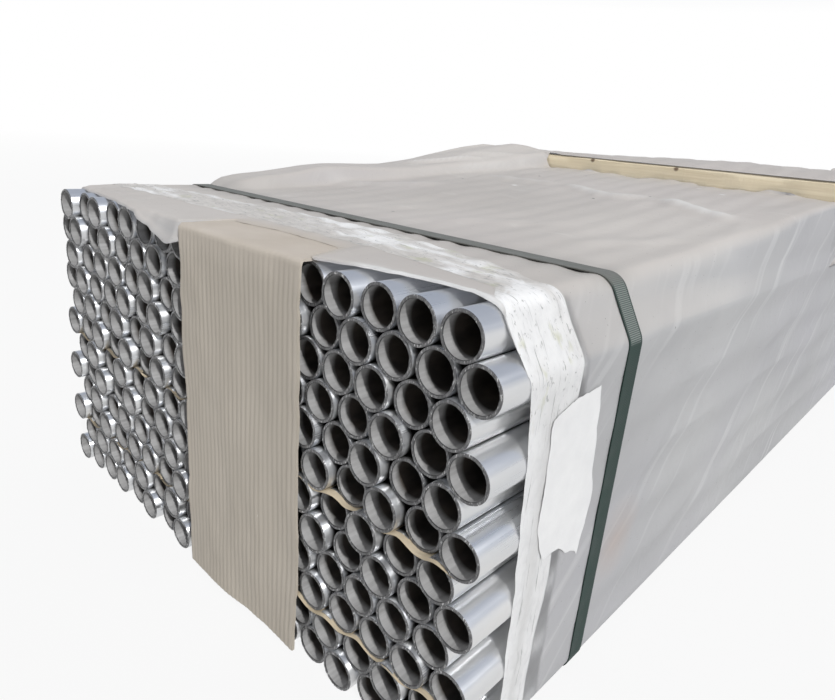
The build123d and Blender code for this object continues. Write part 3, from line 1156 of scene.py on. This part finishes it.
def make_strap(number, material):
    """A strap with fine ribs across it, drawn taut over the film's outline.

    Its section is given as places across, shares of the thickness, and 1 where it is ribbed.
    """
    low, high = strap_boxes[number]
    inner = strap_outline(strap_places[number - 1])
    ahead = np.roll(inner, -1, axis=0) - np.roll(inner, 1, axis=0)
    outward = join(ahead[:, 1], -ahead[:, 0]) / np.hypot(*ahead.T)[:, None]
    thickness = film_low.z - low.z
    rib = (np.arange(len(inner)) % strap_samples_per_rib < strap_samples_per_rib / 2).astype(float)
    edge_run = ((0.0, 0.1, 0), (0.0, 0.9, 0), (strap_edge, 1.0, 0), (2 * strap_edge, 1.0, 1))
    other_edge_run = tuple((1 - across, height, ribbed) for across, height, ribbed in reversed(edge_run))
    section = np.array(edge_run + ((0.5, 1.0, 1),) + other_edge_run)
    across, height, ribbed = section.T[..., None]
    reach = thickness * height - ribbed * strap_rib_height * (1 - rib)
    place = inner + outward * reach[..., None]
    z = np.maximum(place[..., 1], 0)
    vertices = join(place[..., 0], low.y + (high.y - low.y) * across, z)
    quads = grid_faces(*z.shape, round_rows=True, round_columns=True)
    name, node = f"strap_band_{number}", f"strap_{number}"
    piece = make_piece(name, vertices, quads, [material], node, sharp=16)
    dust = step_between(outward[:, 1], *strap_dust_slope)
    # Painted highlight on the ribs where the strap bends over the shoulder, less where dusty
    rubbed = step_between(outward[:, 1], *strap_highlight_slope) * (1 - 0.75 * dust)
    all_round = np.tile([dust, rubbed], len(section))
    add_point_values(piece, rib=rib * ribbed, dust=all_round[0], rubbed=all_round[1])


# Cardboard

def board_path():
    """Points up the end and in over the top, with outward normals, in Y and Z at the near end."""
    back = -half_length - end_scatter
    flap_under = row_height(1) + pipe_radius
    radius = board_fold_radius
    wall = join(back, np.arange(board_low.z, flap_under - radius, board_row_step))
    turn = np.linspace(math.pi, math.pi / 2, board_fold_columns)
    round_fold = join(np.cos(turn), np.sin(turn))
    fold = join(back + radius + radius * round_fold[:, 0], flap_under - radius + radius * round_fold[:, 1])
    flap = join(np.arange(back + radius + board_row_step, board_high.y, board_row_step), flap_under)
    points = np.concatenate([wall, fold, flap])
    wall_normals = np.tile([-1.0, 0.0], (len(wall), 1))
    flap_normals = np.tile([0.0, 1.0], (len(flap), 1))
    return points, np.concatenate([wall_normals, round_fold, flap_normals])


def make_board(side, end, material):
    """A strip of single-faced corrugated board; end is -1 at the near end and 1 at the far one."""
    path, outward = board_path()
    width = board_high.x - board_low.x
    flutes = int(width // flute_pitch)
    columns = flutes * flute_samples + 1
    share = np.linspace(0, 1, columns)[None, :]
    rows = np.arange(len(path))[:, None]
    upright = 1 - outward[:, 1:]
    ragged = board_ragged_edge * layered_noise(rows * 0.35, np.where(share < 0.5, 1.0, 9.0), 4.0)
    sway = board_sway * noise(rows * 0.06, 3.0, 6.0)
    x = board_low.x + width * share + ragged * (2 * np.abs(share - 0.5)) ** 6 + sway
    crest = 0.5 - 0.5 * np.cos(2 * math.pi * flutes * share)
    below_fold = step_between(row_height(1) + pipe_radius - path[:, 1:], 0, board_fold_fade)
    crest = np.sqrt(crest) * (0.3 + 0.7 * np.maximum(below_fold, 1 - upright))
    crushed = (0.65 + 0.35 * noise(share * 9, rows * 0.09, 7.0)) * (0.15 + 0.85 * upright)
    bow = board_bow * (layered_noise(share * 3, rows * 0.07, 8.0) + 1) * upright

    def face_points(reach):
        place = path[:, None, :] + outward[:, None, :] * reach[..., None]
        return join(x, place[..., 0] * -end, place[..., 1]).reshape(-1, 3)

    front = face_points(board_thickness + flute_depth * crest * crushed + bow)
    back = face_points(bow)
    quads = grid_faces(len(path), columns).reshape(-1, 4)
    border = np.concatenate([
        np.arange(columns),
        np.arange(1, len(path)) * columns + columns - 1,
        (len(path) - 1) * columns + np.arange(columns - 2, -1, -1),
        np.arange(len(path) - 2, 0, -1) * columns,
    ])
    after = np.roll(border, -1)
    rim = join(border, border + len(front), after + len(front), after)
    # The far board is a mirror image, so its quads run the other way round
    faces = np.concatenate([quads, (quads + len(front))[:, ::-1], rim])[:, ::-end]
    name, node = f"end_guard_{side}", f"end_board_{side}"
    piece = make_piece(name, np.concatenate([front, back]), faces, [material], node, sharp=70)
    add_point_values(piece, crest=np.concatenate([crest.ravel(), np.full(len(back), 0.5)]))


# Kraft paper

def make_paper(row, material):
    """A sheet that waves between this row and the next, with ragged edges that stand out at both ends."""
    low = row_height(row) - pipe_radius
    high = row_height(row + 1) + pipe_radius
    columns = (pipes_in(row) - 1) * paper_samples_per_pitch + 1
    x = np.linspace(pipe_x(row, 1), pipe_x(row, pipes_in(row)), columns)[None, :]
    wave = np.cos(2 * math.pi * (x - pipe_x(row, 1)) / pitch)
    level = (low + high) / 2 - wave * (high - low) / 2
    lip = np.linspace(0, 1, paper_lip_rows)[:, None]
    ragged = 0.55 + 0.6 * layered_noise(x * 26, 0.0, row)
    reach = paper_reach + paper_overhang * np.maximum(ragged, 0) - paper_recess * (x < board_low.x)
    near = -half_length - reach * lip[::-1]
    far = half_length + reach * lip
    y = np.concatenate([near, far])
    droop = np.concatenate([lip[::-1], lip]) ** 2 * (1 + layered_noise(x * 33, y * 60, row + 3.0))
    vertices = join(x, y, level - paper_droop * droop)
    name, node = f"paper_{row:02d}", f"interleaf_paper_{row:02d}"
    piece = make_piece(name, vertices, grid_faces(*y.shape), [material], node)


# Label, whose edges are places from its lower corner along Y or Z, by the share of its height or width
label_left_edge = ((0.0, 0.015), (0.3, 0.002), (1.0, 0.0))
label_right_edge = ((0.0, 0.088), (0.37, 0.094), (0.68, 0.082), (1.0, 0.071))
label_bottom_edge = ((0.0, 0.016), (0.55, 0.008), (0.62, 0.002), (1.0, -0.012))
label_top_edge = ((0.0, 0.150), (0.65, 0.160), (1.0, 0.164))


def make_label(material):
    """A bare sheet stuck to the film, with torn edges and a corner that lifts."""
    u = np.linspace(0, 1, label_columns)[None, :]
    v = np.linspace(0, 1, label_rows)[:, None]
    edge_u = (2 * u - 1) ** 5
    edge_v = (2 * v - 1) ** 7
    left = label_low.y + read_table(v, label_left_edge)
    right = label_low.y + read_table(v, label_right_edge)
    bottom = label_low.z + read_table(u, label_bottom_edge)
    top = label_low.z + read_table(u, label_top_edge)
    torn_y = label_torn_edge * layered_noise(v * 6, np.sign(edge_u) * 3, 2.0) * np.abs(edge_u)
    torn_z = label_torn_edge * layered_noise(u * 5, np.sign(edge_v) * 3, 5.0) * np.abs(edge_v)
    y = between(left, right, u) + torn_y
    z = between(bottom, top, v) + torn_z
    curl = label_curl * step_between(u + v, *label_curl_span)
    over_tape = label_over_tape * step_between(u, *label_step_span)
    x = side_pipe_x + film_radius + label_lift + over_tape + curl
    quads = grid_faces(*z.shape)
    piece = make_piece("label_paper", join(x, y, z), quads, [material], "label_sheet")


# Bearers

def make_bearer(side, material):
    """Sawn timber with edges worn round and faces that aren't quite flat."""
    name, node = f"bearer_{side}", f"top_bearer_{side}"
    low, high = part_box(node)
    half = np.array([high.y - low.y, high.z - low.z]) / 2
    middle = np.array([high.y + low.y, high.z + low.z]) / 2
    up_to_edge = np.linspace(-1, 1, bearer_side_points)[:, None] * (half - bearer_edge)
    upright_run = join(half[0], up_to_edge[:, 1])
    level_run = join(-up_to_edge[:, 0], half[1])
    ring = np.concatenate([upright_run, level_run, -upright_run, -level_run])
    stations = np.arange(round((high.x - low.x) / bearer_step) + 1)
    x = np.linspace(low.x, high.x, len(stations))[:, None]
    turn = np.arange(len(ring))
    uneven = bearer_unevenness * (layered_noise(stations[:, None] * 0.21, turn * 0.6, 3.0) - 1)
    shrink = 1 + uneven / half.min()
    y = middle[0] + ring[:, 0] * shrink
    z = np.maximum(middle[1] + ring[:, 1] * shrink, low.z)
    quads = grid_faces(*z.shape, round_columns=True)
    last = (len(stations) - 1) * len(ring)
    caps = (turn.tolist(), (last + turn[::-1]).tolist())
    make_piece(name, join(x, y, z), quads, [material], node, sharp=35, caps=caps)


# Surroundings

def make_floor():
    """A pale floor that shows shadows close to the bundle and turns white further away."""
    bpy.ops.mesh.primitive_plane_add(size=2 * floor_half_size, location=(0, 0, 0))
    floor = bpy.context.object
    floor.name = "floor"
    shader = Shader("pale_floor", Base_Color=floor_tone, Roughness=0.9)
    away = shader.distance(shader.place, (0, 0, 0))
    whitening = shader.ramp(away, *floor_shadow_reach, floor_glow_share, 1.0)
    share = shader.math("MULTIPLY", shader.seen(), whitening)
    shader.mix_in(share, "ShaderNodeEmission", {"Color": seen_low, "Strength": 1.0})
    floor.data.materials.append(shader.material)


def make_light():
    """A sun, and a sky that shows other tones in the picture than it lights the bundle with."""
    world = bpy.data.worlds.new("pale_surroundings")
    bpy.context.scene.world = world
    sky = Nodes(world)
    direction = sky.add("ShaderNodeTexCoord").outputs["Generated"]
    upward = sky.ramp(sky.axes(direction)[2], sky_start, sky_end)
    as_light = sky.mix(upward, sky_low, sky_high)
    as_seen = sky.mix(upward, seen_low, seen_high)
    sky.feed(sky.tree.nodes["Background"].inputs["Color"], sky.mix(sky.seen(), as_light, as_seen))
    lamp = bpy.data.lights.new("key", "SUN")
    lamp.energy = key_strength
    lamp.angle = key_spread
    key = bpy.data.objects.new("key", lamp)
    key.rotation_mode = "QUATERNION"
    key.rotation_quaternion = key_direction.to_track_quat("-Z", "Y")
    bpy.context.scene.collection.objects.link(key)


def make_camera():
    data = bpy.data.cameras.new("camera")
    data.lens = camera_lens_mm
    data.sensor_width = camera_sensor_mm
    data.clip_start = camera_clip_start
    camera = bpy.data.objects.new("camera", data)
    right = camera_forward.cross(camera_up).normalized()
    up = right.cross(camera_forward).normalized()
    turned = Matrix((right, up, -camera_forward.normalized())).transposed().to_4x4()
    camera.matrix_world = Matrix.Translation(camera_place) @ turned
    bpy.context.scene.collection.objects.link(camera)
    bpy.context.scene.camera = camera


make_camera()
make_light()
make_floor()
make_pipes()
ends = {"near": -1, "far": 1}
wood = timber_material()
for end_name in ends:
    make_bearer(end_name, wood)
make_film(film_material())
white_tape = tape_material()
for end_name, end_sign in ends.items():
    make_tape(end_name, end_sign, white_tape)
green_plastic = strap_material()
for strap_number in strap_boxes:
    make_strap(strap_number, green_plastic)
corrugated = cardboard_material()
for end_name, end_sign in ends.items():
    make_board(end_name, end_sign, corrugated)
kraft = paper_material("kraft_paper", (0.46, 0.38, 0.26), (0.62, 0.53, 0.39))
for paper_row in paper_rows:
    make_paper(paper_row, kraft)
make_label(paper_material("label_paper", (0.75, 0.75, 0.75), (0.82, 0.82, 0.815), 0.6))

bpy.context.scene.view_settings.view_transform = "Standard"
